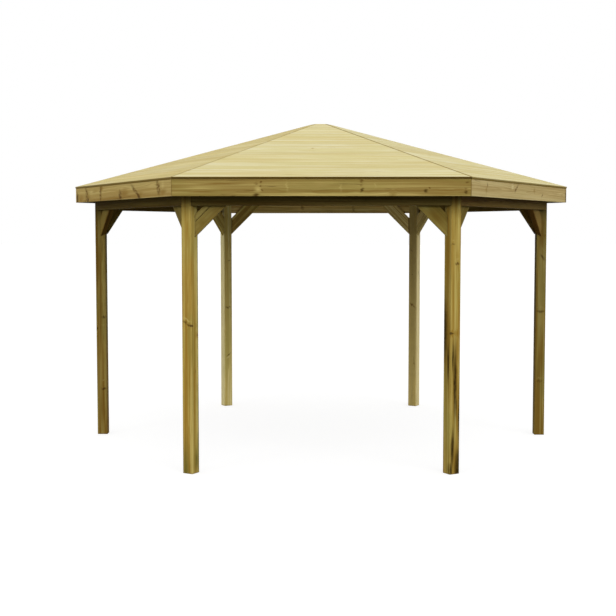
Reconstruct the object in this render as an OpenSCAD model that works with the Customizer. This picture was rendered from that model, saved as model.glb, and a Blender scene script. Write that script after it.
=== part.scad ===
// Hexagonal garden gazebo of planed, pressure-treated softwood.
// Six posts carry a ring of beams, stiffened by a pair of knee braces at every post.
// Hip rafters run from the posts to a king block, a common rafter fills each side,
// and six boarded roof panels meet in mitres at the hips.
// Millimetres. The origin is on the ground under the apex, +Z is up and the front faces -Y.

/* [Plan] */
// Distance from the middle of the gazebo to the middle of each post
ring_radius = 2000; // [1600:10:2600]
// How far the roof runs out past the outer face of the ring beams
eaves_overhang = 144; // [90:1:250]

/* [Posts] */
// Width of the square posts
post_width = 90; // [75:1:120]
// Radius of the eased edges of the posts
post_edge = 5; // [2:0.5:10]

/* [Ring beams] */
// Height of the underside of the ring beams above the ground
headroom = 2050; // [1900:10:2300]
// Depth of the ring beams, measured upright
beam_depth = 120; // [95:1:170]
// Thickness of the ring beams
beam_thickness = 40; // [35:1:60]
// Strip of the post's side face that shows outside the beam
beam_reveal = 2; // [0:1:20]

/* [Knee braces] */
// Width of the brace boards
brace_depth = 120; // [80:1:150]
// Thickness of the brace boards
brace_thickness = 45; // [30:1:60]
// How far below the beam a brace's lower edge meets its post
brace_drop = 240; // [180:5:400]
// Angle of the braces from the level
brace_angle = 45; // [40:1:55]

/* [Rafters] */
// Depth of the rafters, square to their slope
rafter_depth = 120; // [95:1:150]
// Thickness of the rafters
rafter_thickness = 45; // [35:1:60]
// Distance from the axis to the faces of the king block
king_reach = 50; // [40:1:65]
// How far the king block hangs below the hip rafters
king_drop = 25; // [0:1:80]
// Gap between the king block's corners and the common rafters
king_gap = 5; // [1:1:15]

/* [Roof] */
// Slope of the roof panels in degrees
roof_pitch = 16.8; // [12:0.1:28]
// Thickness of the roof boards
board_thickness = 18; // [14:0.5:28]
// Open joint between two panels along a hip
hip_gap = 8; // [0:0.5:12]
// Distance from the axis to the corners of the flat cap at the apex
cap_radius = 97; // [95:1:200]

/* [Fascia] */
// Depth of the fascia boards, measured upright
fascia_depth = 125; // [95:1:170]
// Thickness of the fascia boards
fascia_thickness = 20; // [16:0.5:30]
// How far the roof boards drip over the fascia
fascia_drip = 8; // [0:1:25]

/* [Hidden] */
SIDES = 6;
HALF_ANGLE = 180 / SIDES;
TURN = 360 / SIDES;

// Corners count from +X, sides from the first corner to the next, both turning left.
CORNER_NAMES = ["right", "back_right", "back_left", "left", "front_left", "front_right"];
SIDE_NAMES = ["back_right", "back", "back_left", "front_left", "front", "front_right"];

// Distances along a side's outward normal, measured from the axis
post_line = ring_radius * cos(HALF_ANGLE);
beam_outer = post_line + (post_width / 2 - beam_reveal) * cos(HALF_ANGLE) + post_width / 2 * sin(HALF_ANGLE);
beam_inner = beam_outer - beam_thickness;
brace_inner = beam_inner - brace_thickness;
eaves_line = beam_outer + eaves_overhang;
fascia_outer = eaves_line - fascia_drip;
fascia_inner = fascia_outer - fascia_thickness;
cap_line = cap_radius * cos(HALF_ANGLE);
head_line = king_reach / cos(HALF_ANGLE) + king_gap;

// Heights
beam_top = headroom + beam_depth;
rafter_rise = rafter_depth / cos(roof_pitch);
board_rise = board_thickness / cos(roof_pitch);
hip_pitch = atan(tan(roof_pitch) * cos(HALF_ANGLE));
hip_rise = rafter_depth / cos(hip_pitch);

// Height of a common rafter's lower edge at a distance along the side's normal
function rafter_low(n) = beam_top + (beam_inner - n) * tan(roof_pitch);
// Height of the underside of the roof boards
function board_low(n) = rafter_low(n) + rafter_rise;
// Height of the top of the roof boards
function board_high(n) = board_low(n) + board_rise;
// Heights of a hip rafter's ridge and lower edge at a distance from the axis
function hip_high(r) = board_low(r * cos(HALF_ANGLE));
function hip_low(r) = hip_high(r) - hip_rise;
// Where the post's side face crosses a line along the side, from the side's middle
function post_face(n) = ring_radius * sin(HALF_ANGLE)
    - (post_width / 2 - (n - post_line) * sin(HALF_ANGLE)) / cos(HALF_ANGLE);

post_top = hip_low(ring_radius - post_width / 2);
fascia_top = board_low(fascia_outer);
cap_top = board_high(cap_line);
cap_low = board_low(cap_line);
tall = cap_top + rafter_depth;

timber = [0.63, 0.56, 0.36];
timber_dark = [0.52, 0.45, 0.28];
fascia_tone = [0.47, 0.40, 0.25];
roof_tone = [0.86, 0.80, 0.60];

// Turns a piece so that its X axis points out at a corner
module at_corner(i) {
    rotate(i * TURN) children();
}

// Turns a piece so that its X axis points out square to a side
module at_side(i) {
    rotate(i * TURN + HALF_ANGLE) children();
}

// A profile drawn outwards and upwards, made as thick as a board about its middle
module upright(thickness) {
    rotate([90, 0, 0]) linear_extrude(thickness, center = true) children();
}

// Square with eased corners
module eased_square(size, edge) {
    inner = size / 2 - edge;
    square([size, 2 * inner], center = true);
    square([2 * inner, size], center = true);
    for (x = [-inner, inner], y = [-inner, inner]) translate([x, y]) circle(r = edge, $fn = 32);
}

// The space above the underside of the roof boards of one side
module above_boards() {
    near = -rafter_thickness;
    far = eaves_line;
    upright(2 * eaves_line) polygon([
        [near, board_low(near)],
        [far, board_low(far)],
        [far, board_low(far) + tall],
        [near, board_low(near) + tall]
    ]);
}

// Square post with eased edges, cut level under its hip rafter
module post() {
    color(timber) translate([ring_radius, 0, 0]) linear_extrude(post_top) eased_square(post_width, post_edge);
}

// Ring beam between two posts, its ends cut to lie flat on the posts' side faces
module beam() {
    color(timber_dark) translate([0, 0, headroom]) linear_extrude(beam_depth) polygon([
        [beam_inner, -post_face(beam_inner)],
        [beam_outer, -post_face(beam_outer)],
        [beam_outer, post_face(beam_outer)],
        [beam_inner, post_face(beam_inner)]
    ]);
}

// Knee brace on the inner face of a ring beam, from the beam's top edge down to the post
module brace() {
    foot = post_face(beam_inner);
    foot_low = headroom - brace_drop;
    slope = tan(brace_angle);
    rise = brace_depth / cos(brace_angle);
    start = foot + post_width;
    start_low = foot_low - post_width * slope;
    intersection() {
        translate([brace_inner, 0, 0]) rotate([90, 0, 90]) linear_extrude(brace_thickness) polygon([
            [start, start_low],
            [start, start_low + rise],
            [start - (beam_top - start_low - rise) / slope, beam_top],
            [start - (beam_top - start_low) / slope, beam_top]
        ]);
        linear_extrude(tall) polygon([
            [brace_inner, 0],
            [brace_inner, post_face(brace_inner)],
            [beam_inner, post_face(beam_inner)],
            [beam_inner, 0]
        ]);
    }
}

// The two knee braces of one post, one under each beam that meets there
module braces() {
    color(timber_dark) rotate(HALF_ANGLE) mirror([0, 1, 0]) brace();
    color(timber_dark) rotate(-HALF_ANGLE) brace();
}

// Hip rafter with a notch on the post, a backed top edge and a pointed tail inside the fascia
module hip_rafter() {
    tail = fascia_inner / cos(HALF_ANGLE);
    post_in = ring_radius - post_width / 2;
    post_out = ring_radius + post_width / 2;
    color(timber) difference() {
        intersection() {
            upright(rafter_thickness) polygon([
                [king_reach, hip_low(king_reach)],
                [king_reach, cap_low],
                [cap_radius, hip_high(cap_radius)],
                [tail, hip_high(tail)],
                [tail, hip_low(tail)],
                [post_out, hip_low(post_out)],
                [post_out, post_top],
                [post_in, post_top]
            ]);
            linear_extrude(tall) circle(r = tail, $fn = SIDES);
        }
        rotate(HALF_ANGLE) above_boards();
        rotate(-HALF_ANGLE) above_boards();
    }
}

// Common rafter with a notch on the ring beam, its head cut to fit between two hip rafters
module common_rafter() {
    color(timber) difference() {
        upright(rafter_thickness) polygon([
            [head_line, rafter_low(head_line)],
            [head_line, cap_low],
            [cap_line, cap_low],
            [fascia_inner, board_low(fascia_inner)],
            [fascia_inner, rafter_low(fascia_inner)],
            [beam_outer, rafter_low(beam_outer)],
            [beam_outer, beam_top],
            [beam_inner, beam_top]
        ]);
        for (hip = [-HALF_ANGLE, HALF_ANGLE]) rotate(hip) translate([0, -rafter_thickness / 2, 0])
            cube([ring_radius / 2, rafter_thickness, tall]);
    }
}

// Six-sided block that the heads of the hip rafters butt against
module king_block() {
    low = hip_low(king_reach) - king_drop;
    color(timber_dark) translate([0, 0, low]) rotate(HALF_ANGLE) linear_extrude(cap_low - low)
        circle(r = king_reach / cos(HALF_ANGLE), $fn = SIDES);
}

// Flat six-sided board that closes the roof at the apex
module roof_cap() {
    color(roof_tone) translate([0, 0, cap_low]) linear_extrude(board_rise)
        circle(r = cap_radius, $fn = SIDES);
}

// Fascia board along one eaves, mitred to its neighbours
module fascia() {
    lean = tan(HALF_ANGLE);
    color(fascia_tone) translate([0, 0, fascia_top - fascia_depth]) linear_extrude(fascia_depth) polygon([
        [fascia_inner, -fascia_inner * lean],
        [fascia_outer, -fascia_outer * lean],
        [fascia_outer, fascia_outer * lean],
        [fascia_inner, fascia_inner * lean]
    ]);
}

// Boarded roof panel of one side, cut plumb at the hips and the cap, its eaves edge square to the slope
module roof_panel() {
    lean = tan(HALF_ANGLE);
    back = hip_gap / 2 / cos(HALF_ANGLE);
    edge_back = board_thickness * sin(roof_pitch);
    color(roof_tone) intersection() {
        upright(2 * eaves_line) polygon([
            [cap_line, board_low(cap_line)],
            [cap_line, board_high(cap_line)],
            [eaves_line, board_high(eaves_line)],
            [eaves_line - edge_back, board_low(eaves_line - edge_back)]
        ]);
        linear_extrude(tall) polygon([
            [cap_line, back - cap_line * lean],
            [eaves_line, back - eaves_line * lean],
            [eaves_line, eaves_line * lean - back],
            [cap_line, cap_line * lean - back]
        ]);
    }
}

for (i = [0 : SIDES - 1]) {
    at_corner(i) post();
    at_side(i) beam();
    at_corner(i) braces();
    at_corner(i) hip_rafter();
    at_side(i) common_rafter();
    at_side(i) fascia();
    at_side(i) roof_panel();
}
king_block();
roof_cap();
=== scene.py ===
# %% [markdown]
# A garden gazebo, timber by timber
#
# The construction of the gazebo is already packed as plain solids. This lesson dresses it: every post,
# beam, brace, fascia board and roof board becomes a planed timber with eased edges and its own figure.
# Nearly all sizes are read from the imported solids. Only the width, thickness and slope of the braces,
# and the rows, joints and tongues of the roof boards, are written down here.

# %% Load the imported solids
import math

import bpy
import numpy as np
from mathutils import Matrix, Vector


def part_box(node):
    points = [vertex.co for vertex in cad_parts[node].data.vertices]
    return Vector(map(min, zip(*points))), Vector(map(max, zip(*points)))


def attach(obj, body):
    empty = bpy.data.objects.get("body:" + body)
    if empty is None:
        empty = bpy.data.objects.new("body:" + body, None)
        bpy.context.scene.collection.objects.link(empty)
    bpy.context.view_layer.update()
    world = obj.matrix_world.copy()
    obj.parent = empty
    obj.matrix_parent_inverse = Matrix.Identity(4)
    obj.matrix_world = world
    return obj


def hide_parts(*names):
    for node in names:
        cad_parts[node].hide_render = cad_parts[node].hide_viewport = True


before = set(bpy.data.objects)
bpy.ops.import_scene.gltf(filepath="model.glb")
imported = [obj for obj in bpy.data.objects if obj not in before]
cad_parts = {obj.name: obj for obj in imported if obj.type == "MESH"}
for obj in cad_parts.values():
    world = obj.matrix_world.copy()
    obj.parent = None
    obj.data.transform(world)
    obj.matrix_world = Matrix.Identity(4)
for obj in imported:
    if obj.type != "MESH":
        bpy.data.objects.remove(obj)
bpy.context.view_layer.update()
print("packed nodes:", len(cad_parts))

# %% [markdown]
# The six corners and six sides have names that say where they lie, seen from the front. A corner's
# angle is where its post stands, and a side's angle is where it faces. Keeping both in one place lets
# a loop make six pieces that belong to the right nodes.

# %% Names and angles of the corners and sides
SIDES = 6
TURN = 2 * math.pi / SIDES
HALF = TURN / 2
CORNERS = ["right", "back_right", "back_left", "left", "front_left", "front_right"]
FACES = ["back_right", "back", "back_left", "front_left", "front", "front_right"]
UP = np.array([0.0, 0.0, 1.0])
AXIS = np.zeros(3)


def outward(angle):
    """Unit vector on the level that points out at an angle: cosine, sine, zero."""
    return np.array([math.cos(angle), math.sin(angle), 0.0])


def sideways(angle):
    """Unit vector on the level, a quarter turn to the left of outward(angle)."""
    return np.array([-math.sin(angle), math.cos(angle), 0.0])


# %% [markdown]
# Measuring the solids first keeps the script true when a size changes. The left post gives the timber
# size and the ring, and the front pieces give the distances out from the middle. The fascia and the cap
# both touch the underside of the roof boards, so the line between them has the pitch of the roof.

# %% Measure the frame
post_low, post_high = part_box("post_left")
post_size = post_high.y - post_low.y
post_top = post_high.z
ring = -(post_low.x + post_high.x) / 2

beam_low, beam_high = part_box("beam_front")
beam_outer, beam_inner = -beam_low.y, -beam_high.y
brace_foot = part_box("braces_front_left")[0].z

fascia_low, fascia_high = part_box("fascia_front")
fascia_outer, fascia_inner = -fascia_low.y, -fascia_high.y

roof_low, roof_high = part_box("roof_front")
eaves_line, cap_line = -roof_low.y, -roof_high.y
cap_low, cap_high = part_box("roof_cap")
pitch = math.atan((cap_low.z - fascia_high.z) / (fascia_outer - cap_line))
eaves_top = cap_high.z - (eaves_line - cap_line) * math.tan(pitch)
board_thickness = (cap_high.z - cap_low.z) * math.cos(pitch)
print("ring %.3f m, pitch %.2f degrees, boards %.1f mm" % (ring, math.degrees(pitch), board_thickness * 1000))

# %% [markdown]
# Planed timber is a rounded rectangle carried along a straight line. The ends are rarely square: a beam
# meets its post at thirty degrees, a board meets the hip at a mitre. So each point of the outline runs
# from one cutting plane to another, which gives every end cut exactly with one small function.
#
# Each timber also remembers where it sat in its log. The attribute "timber" holds distances along,
# across and through the log, measured from the pith, so growth rings and knots run on from face to
# face and show as arcs on the end grain. The attribute "finish" holds three masks: the eased edges,
# the sawn ends, and how light this timber is beside its neighbours. The second also lays end-grain
# colour inside slots and along the eaves edge of the lowest roof boards, and the third is lowered
# along that edge: both are painted shade.

# %% The outline of a timber
EASE_STEPS = 3
EDGE_BAND = 0.008


def eased_outline(width, depth, ease, slot=None):
    """Points (across, through) once around a rectangle whose corners are quarter circles.

    A corner's points are its centre plus ease times (cosine, sine). Two more points a little way along
    each flat hold the flat still while the corners are shaded round. A slot adds four points to one
    flat, of which the inner two are later pushed into the wood.
    """
    half_w, half_d = width / 2 - ease, depth / 2 - ease
    band = min(EDGE_BAND, half_w / 2, half_d / 2)
    points, edge, deep = [], [], []
    for k, (sx, sy) in enumerate([(1, -1), (1, 1), (-1, 1), (-1, -1)]):
        turn = np.linspace(k - 1, k, EASE_STEPS + 1) * math.pi / 2
        arc = np.stack([sx * half_w + ease * np.cos(turn), sy * half_d + ease * np.sin(turn)], 1)
        run = np.array([-math.sin(k * math.pi / 2), math.cos(k * math.pi / 2)])
        length = 2 * (half_d, half_w)[k % 2]
        flat = [arc[-1] + run * band, arc[-1] + run * (length - band)]
        inner = np.zeros(0)
        if slot and slot["face"] == k:
            middle = arc[-1] + run * (length / 2 + slot["place"])
            reach = slot["width"] / 2 * np.array([-1, -slot["root"], slot["root"], 1])
            flat[1:1] = list(middle + reach[:, None] * run)
            inner = np.array([0.0, 1.0, 1.0, 0.0])
        points += [arc, np.array(flat)]
        edge += [np.ones(EASE_STEPS + 1), np.zeros(len(flat))]
        deep += [np.zeros(EASE_STEPS + 2), inner, np.zeros(1)]
    return np.concatenate(points), np.concatenate(edge), np.concatenate(deep)


# %% Carry the outline from one cutting plane to another
LOG_STEP = 5.0
END_EASE = 0.0015
END_BAND = 0.010
END_WET = 0.5
PITH_PLACE = (0.0, -0.06)
SLOT_INWARD = {1: (0.0, -1.0), 2: (1.0, 0.0)}
timbers = []


def timber(middle, along, across, size, cuts, ease, rings=8, pith=PITH_PLACE, lean=0.0, tone=1.0,
           bow=(0.0, 0.0), wet=(END_WET, END_WET), slot=None):
    """Mesh arrays of one timber.

    middle is a point on its axis, along and across are unit vectors, and through is their cross
    product. size is (width across, depth through). cuts are two planes, each a point and a normal.
    A point of the outline at (y, z) runs from s0 to s1 along the axis, where
    s = (plane point - middle - y across - z through) . normal / (along . normal).
    The bow adds sin(pi t) times up to a millimetre, so that the ends stay where they join. rings is the
    number of outlines between the ends. wet holds a share of end-grain colour for each end, which fades
    to none in a narrow band.
    """
    through = np.cross(along, across)
    outline, edge, deep = eased_outline(size[0], size[1], ease, slot)
    y, z = outline.T
    base = middle + y[:, None] * across + z[:, None] * through
    ends = [((point - base) @ normal) / (along @ normal) for point, normal in cuts]
    t = np.concatenate([[0, 0, 0], np.linspace(0, 1, rings + 2)[1:-1], [1, 1, 1]])[:, None]
    inset = np.zeros_like(t)
    inset[[1, 2, -3, -2], 0] = END_EASE, END_BAND, -END_BAND, -END_EASE
    s = ends[0] + (ends[1] - ends[0]) * t + inset
    scale = np.ones((len(t), 2))
    scale[[0, -1]] = 1 - 2 * END_EASE / np.array(size)
    y = y * scale[:, :1] + bow[0] * np.sin(math.pi * t)
    z = z * scale[:, 1:] + bow[1] * np.sin(math.pi * t)
    if slot:
        inward = SLOT_INWARD[slot["face"]]
        opened = np.clip((s - slot["start"]) / slot["taper"], 0, 1)
        opened = opened * np.clip((slot["end"] - s) / slot["taper"], 0, 1)
        y = y + inward[0] * slot["depth"] * deep * opened
        z = z + inward[1] * slot["depth"] * deep * opened
    place = middle + s[..., None] * along + y[..., None] * across + z[..., None] * through
    log_x = LOG_STEP * len(timbers)
    log_place = np.stack([s + log_x, y + pith[0] + lean * s, z + pith[1]], -1)
    rows, around = s.shape
    finish = np.zeros((rows, around, 3))
    finish[..., 0] = edge
    # The inner points of a slot take end-grain colour: painted shade inside the slot.
    finish[..., 1] = deep
    finish[[0, 1], :, 1] = wet[0]
    finish[[-2, -1], :, 1] = wet[1]
    finish[..., 2] = tone
    caps = [0, rows - 1]
    cap_finish = finish[caps] * (0, 0, 1) + (0, 1, 0)
    row, here = np.meshgrid(np.arange(rows - 1), np.arange(around), indexing="ij")
    beside = (here + 1) % around
    low, high = row * around, (row + 1) * around
    quads = np.stack([low + here, low + beside, high + beside, high + here], -1).reshape(-1, 4)
    first = rows * around + np.arange(around)
    made = {
        "points": np.concatenate([place.reshape(-1, 3), place[caps].reshape(-1, 3)]),
        "timber": np.concatenate([log_place.reshape(-1, 3), log_place[caps].reshape(-1, 3)]),
        "finish": np.concatenate([finish.reshape(-1, 3), cap_finish.reshape(-1, 3)]),
        "faces": quads.tolist() + [first[::-1].tolist(), (first + around).tolist()],
        "log_x": log_x, "pith": pith, "lean": lean, "size": size,
    }
    timbers.append(made)
    return made


# %% Join timbers into one piece
SHARP_ANGLE = math.radians(40)


def piece(name, parts, material, node):
    """One object from the arrays of its timbers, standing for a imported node."""
    starts = np.cumsum([0] + [len(part["points"]) for part in parts])
    points = np.concatenate([part["points"] for part in parts])
    faces = []
    for part, start in zip(parts, starts):
        faces += [[point + start for point in face] for face in part["faces"]]
    mesh = bpy.data.meshes.new(name)
    mesh.from_pydata(points.tolist(), [], faces)
    for key in ("timber", "finish"):
        values = np.concatenate([part[key] for part in parts]).astype(np.float32)
        mesh.attributes.new(key, "FLOAT_VECTOR", "POINT").data.foreach_set("vector", values.ravel())
    mesh.shade_smooth()
    mesh.set_sharp_from_angle(angle=SHARP_ANGLE)
    mesh.materials.append(material)
    made = bpy.data.objects.new(name, mesh)
    bpy.context.scene.collection.objects.link(made)
    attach(made, "root")
    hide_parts(node)
    return made


# %% [markdown]
# Wood is the whole look of this object, so its finish is built from small node groups that every
# timber shares. Two groups say how far a point is from a knot or a mark, counted in its radii: one
# scatters knots at random, the other sets one mark where the real timber has it. A third pushes places
# about a little, which gives marks uneven edges. The fourth turns the distance from the pith into growth
# rings, pushes the rings out around the knots, and adds fibres, streaks and hairline cracks. The fifth
# lays the colours over one another.

# %% Small helpers for node trees


def linear(red, green, blue):
    """A colour picked on a screen, turned into the linear values that shaders use.

    Near black that is the value over 12.92, and above it ((value + 0.055) / 1.055) to the power 2.4.
    """
    screen = np.array([red, green, blue]) / 255
    dark = screen / 12.92
    bright = ((screen + 0.055) / 1.055) ** 2.4
    return (*np.where(screen <= 0.04045, dark, bright).tolist(), 1.0)


def set_input(tree, socket, value):
    """Links a node's output to a socket, or writes a plain value into it."""
    if isinstance(value, bpy.types.NodeSocket):
        tree.links.new(value, socket)
    else:
        socket.default_value = value


def add(tree, kind, inputs=None, **settings):
    """A new node with its settings and inputs."""
    made = tree.nodes.new(kind)
    for key, value in settings.items():
        setattr(made, key, value)
    for key, value in (inputs or {}).items():
        set_input(tree, made.inputs[key], value)
    return made


def calc(tree, operation, *values):
    """Output of a Math node over one to three sockets or numbers."""
    return add(tree, "ShaderNodeMath", dict(enumerate(values)), operation=operation).outputs[0]


def vector(tree, operation, *values):
    """Output of a Vector Math node: a vector or, for a length or dot product, a number."""
    made = add(tree, "ShaderNodeVectorMath", dict(enumerate(values)), operation=operation)
    return made.outputs["Value" if operation in ("LENGTH", "DOT_PRODUCT") else "Vector"]


def ramp(tree, value, low, high):
    """Smooth step of a value from zero at low to one at high."""
    inputs = {"Value": value, "From Min": low, "From Max": high}
    return add(tree, "ShaderNodeMapRange", inputs, interpolation_type="SMOOTHSTEP").outputs["Result"]


def noise(tree, place, scale, detail=2.0, shift=(0.0, 0.0, 0.0)):
    """Noise about one half, stretched by a vector of scales per metre."""
    moved = vector(tree, "MULTIPLY", vector(tree, "ADD", place, shift), scale)
    return add(tree, "ShaderNodeTexNoise", {"Vector": moved, "Scale": 1.0, "Detail": detail}).outputs["Fac"]


def mix(tree, factor, a, b, blend="MIX"):
    """Colour a turning into colour b as the factor grows."""
    made = add(tree, "ShaderNodeMix", data_type="RGBA", blend_type=blend)
    sockets = {socket.identifier: socket for socket in made.inputs}
    for key, value in (("Factor_Float", factor), ("A_Color", a), ("B_Color", b)):
        set_input(tree, sockets[key], value)
    return next(socket for socket in made.outputs if socket.identifier == "Result_Color")


KINDS = {"value": "NodeSocketFloat", "vector": "NodeSocketVector", "colour": "NodeSocketColor"}


def group(name, inputs, outputs):
    """An empty node group with named sockets, with the sockets of its input and output nodes."""
    tree = bpy.data.node_groups.new(name, "ShaderNodeTree")
    for way, sockets in (("INPUT", inputs), ("OUTPUT", outputs)):
        for key, kind in sockets.items():
            tree.interface.new_socket(key, in_out=way, socket_type=KINDS[kind])
    return tree, tree.nodes.new("NodeGroupInput").outputs, tree.nodes.new("NodeGroupOutput").inputs


# %% Knots at random, and marks set one by one
FAR_AWAY = 50.0
KNOT_SQUEEZE = (1.0, 1.0, 0.35)
SMALLEST_KNOT = 0.45
KNOT_VARIETY = 0.9
NOISE_MEAN = 0.5
RAGGED_SCALE = (9.0, 55.0, 55.0)
RAGGED_PUSH = (0.040, 0.014, 0.014)
ACROSS_LOG = (0.0, 1.0, 1.0)


def scattered_knots():
    """Distance from the nearest knot, counted in knot radii.

    Every cell of the log holds one point, and a share of these are knots. The rest count as far away.
    """
    inputs = {"Vector": "vector", "Spacing": "value", "Share": "value", "Radius": "value"}
    tree, given, out = group("Scattered knots", inputs, {"Distance": "value"})
    squeezed = vector(tree, "MULTIPLY", given["Vector"], KNOT_SQUEEZE)
    scale = calc(tree, "DIVIDE", 1.0, given["Spacing"])
    cells = add(tree, "ShaderNodeTexVoronoi", {"Vector": squeezed, "Scale": scale}).outputs
    dice = add(tree, "ShaderNodeSeparateColor", {"Color": cells["Color"]}).outputs
    bare = calc(tree, "GREATER_THAN", dice["Red"], given["Share"])
    size = calc(tree, "MULTIPLY_ADD", dice["Green"], KNOT_VARIETY, SMALLEST_KNOT)
    radius = calc(tree, "MULTIPLY", size, given["Radius"])
    radii = calc(tree, "DIVIDE", calc(tree, "MULTIPLY", cells["Distance"], given["Spacing"]), radius)
    tree.links.new(calc(tree, "MULTIPLY_ADD", bare, FAR_AWAY, radii), out["Distance"])
    return tree


def set_mark():
    """Distance from one mark in its radii, or the distance that came in if that is less.

    With the offset (x, y, z) from the centre, x moves by lean . offset + bend (y^2 + z^2), which slants
    or curves the mark. The length of the stretched offset over the radius is the distance d, and what
    counts is 1 + sharpness (d - 1), never below zero, plus the faintness.
    """
    inputs = {"Vector": "vector", "Centre": "vector", "Stretch": "vector", "Lean": "vector",
              "Bend": "value", "Radius": "value", "Sharp": "value", "Faint": "value", "Distance": "value"}
    tree, given, out = group("Set mark", inputs, {"Distance": "value"})
    offset = vector(tree, "SUBTRACT", given["Vector"], given["Centre"])
    level = vector(tree, "MULTIPLY", offset, ACROSS_LOG)
    curve = calc(tree, "MULTIPLY", vector(tree, "DOT_PRODUCT", level, level), given["Bend"])
    shift = calc(tree, "ADD", vector(tree, "DOT_PRODUCT", offset, given["Lean"]), curve)
    moved = vector(tree, "SUBTRACT", offset, add(tree, "ShaderNodeCombineXYZ", {"X": shift}).outputs[0])
    shaped = vector(tree, "MULTIPLY", moved, given["Stretch"])
    radii = calc(tree, "DIVIDE", vector(tree, "LENGTH", shaped), given["Radius"])
    beyond = calc(tree, "MULTIPLY", calc(tree, "SUBTRACT", radii, 1.0), given["Sharp"])
    radii = calc(tree, "ADD", calc(tree, "MAXIMUM", calc(tree, "ADD", beyond, 1.0), 0.0), given["Faint"])
    tree.links.new(calc(tree, "MINIMUM", radii, given["Distance"]), out["Distance"])
    return tree


def ragged_place():
    """A place in the log pushed a few millimetres by a noise, so that marks get uneven edges."""
    tree, given, out = group("Ragged place", {"Vector": "vector"}, {"Vector": "vector"})
    scaled = vector(tree, "MULTIPLY", given["Vector"], RAGGED_SCALE)
    dice = add(tree, "ShaderNodeTexNoise", {"Vector": scaled, "Scale": 1.0}).outputs["Color"]
    push = vector(tree, "MULTIPLY", vector(tree, "SUBTRACT", dice, (NOISE_MEAN,) * 3), RAGGED_PUSH)
    tree.links.new(vector(tree, "ADD", given["Vector"], push), out["Vector"])
    return tree


SCATTERED_KNOTS = scattered_knots()
SET_MARK = set_mark()
RAGGED_PLACE = ragged_place()
print("node groups:", ", ".join(made.name for made in (SCATTERED_KNOTS, SET_MARK, RAGGED_PLACE)))

# %% Growth rings, fibres and cracks
FIGURE_MASKS = ("Latewood", "Fibre", "Streak", "Blotch", "Knot", "Halo", "Crack", "Chance", "Broken")
KNOT_RAGGED = 0.7
KNOT_BULGE = 0.014
KNOT_SWERVE = 0.012
RING_WANDER = 0.030
RING_RIPPLE = 0.0025
BROAD_SHARE = 0.55
NARROW_SHARE = 0.45
FIGURE_NOISES = {
    "knot edge": ((70.0, 70.0, 70.0),),
    "wander": ((0.9, 7.0, 7.0),),
    "ripple": ((5.0, 40.0, 40.0),),
    "fibre": ((5.0, 420.0, 420.0), 3.0),
    "broad": ((0.45, 20.0, 20.0), 2.0, (3.1, 1.7, 0.4)),
    "narrow": ((1.2, 75.0, 75.0), 3.0, (1.9, 0.6, 2.2)),
    "blotch": ((2.2, 7.0, 7.0), 3.0, (1.3, 5.2, 2.9)),
    "broken": ((28.0, 60.0, 60.0), 2.0, (0.9, 4.1, 3.3)),
    "crack line": ((0.9, 55.0, 55.0), 1.0, (7.7, 0.3, 1.1)),
    "crack place": ((1.1, 9.0, 9.0), 1.0),
}
FIGURE_RAMPS = {
    "latewood grows": (0.35, 0.9), "latewood ends": (1.0, 0.92), "streak": (0.36, 0.64),
    "broken": (0.36, 0.58), "crack line": (0.012, 0.004), "crack place": (0.56, 0.66),
    "knot": (1.15, 0.7), "halo": (3.0, 0.9),
}


def pine_figure():
    """Masks of the figure.

    Ring phase = (distance from the pith + slow wander + bulge round a knot) / ring width, and latewood is
    the last part of each ring. The bulge is exp(-(d / 2)^2), where d is the distance in knot radii. The
    streaks are two noises drawn out along the log, broad and narrow, swerving where the rings bulge. Each
    noise has its scales per metre, its detail and its shift in the table above.
    """
    inputs = {"Vector": "vector", "Knot distance": "value", "Ring width": "value"}
    tree, given, out = group("Pine figure", inputs, {key: "value" for key in FIGURE_MASKS})
    place = given["Vector"]

    def grain(key, at=place):
        return noise(tree, at, *FIGURE_NOISES[key])

    def swing(key):
        return calc(tree, "SUBTRACT", grain(key), NOISE_MEAN)

    def fade(value, key):
        return ramp(tree, value, *FIGURE_RAMPS[key])

    knot_at = calc(tree, "MULTIPLY_ADD", swing("knot edge"), KNOT_RAGGED, given["Knot distance"])
    half = calc(tree, "MULTIPLY", given["Knot distance"], 0.5)
    bulge = calc(tree, "EXPONENT", calc(tree, "MULTIPLY", calc(tree, "MULTIPLY", half, half), -1.0))
    reach = vector(tree, "LENGTH", vector(tree, "MULTIPLY", place, ACROSS_LOG))
    for push, size in ((swing("wander"), RING_WANDER), (swing("ripple"), RING_RIPPLE), (bulge, KNOT_BULGE)):
        reach = calc(tree, "MULTIPLY_ADD", push, size, reach)
    phase = calc(tree, "FRACT", calc(tree, "DIVIDE", reach, given["Ring width"]))
    late = calc(tree, "MULTIPLY", fade(phase, "latewood grows"), fade(phase, "latewood ends"))
    swerve = {key: calc(tree, "MULTIPLY", bulge, KNOT_SWERVE) for key in "YZ"}
    swerved = vector(tree, "ADD", place, add(tree, "ShaderNodeCombineXYZ", swerve).outputs[0])
    broad = calc(tree, "MULTIPLY", grain("broad", swerved), BROAD_SHARE)
    narrow = calc(tree, "MULTIPLY", grain("narrow", swerved), NARROW_SHARE)
    streak = fade(calc(tree, "ADD", broad, narrow), "streak")
    crack_line = fade(calc(tree, "ABSOLUTE", swing("crack line")), "crack line")
    crack = calc(tree, "MULTIPLY", crack_line, fade(grain("crack place"), "crack place"))
    along = add(tree, "ShaderNodeSeparateXYZ", {"Vector": place}).outputs["X"]
    number = calc(tree, "FLOOR", calc(tree, "DIVIDE", calc(tree, "ADD", along, LOG_STEP / 2), LOG_STEP))
    chance = add(tree, "ShaderNodeTexWhiteNoise", {"W": number}, noise_dimensions="1D").outputs["Value"]
    values = {"Latewood": late, "Fibre": grain("fibre"), "Streak": streak, "Blotch": grain("blotch"),
              "Knot": fade(knot_at, "knot"), "Halo": fade(knot_at, "halo"), "Crack": crack,
              "Chance": chance, "Broken": fade(grain("broken"), "broken")}
    for key, value in values.items():
        tree.links.new(value, out[key])
    return tree


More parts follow.
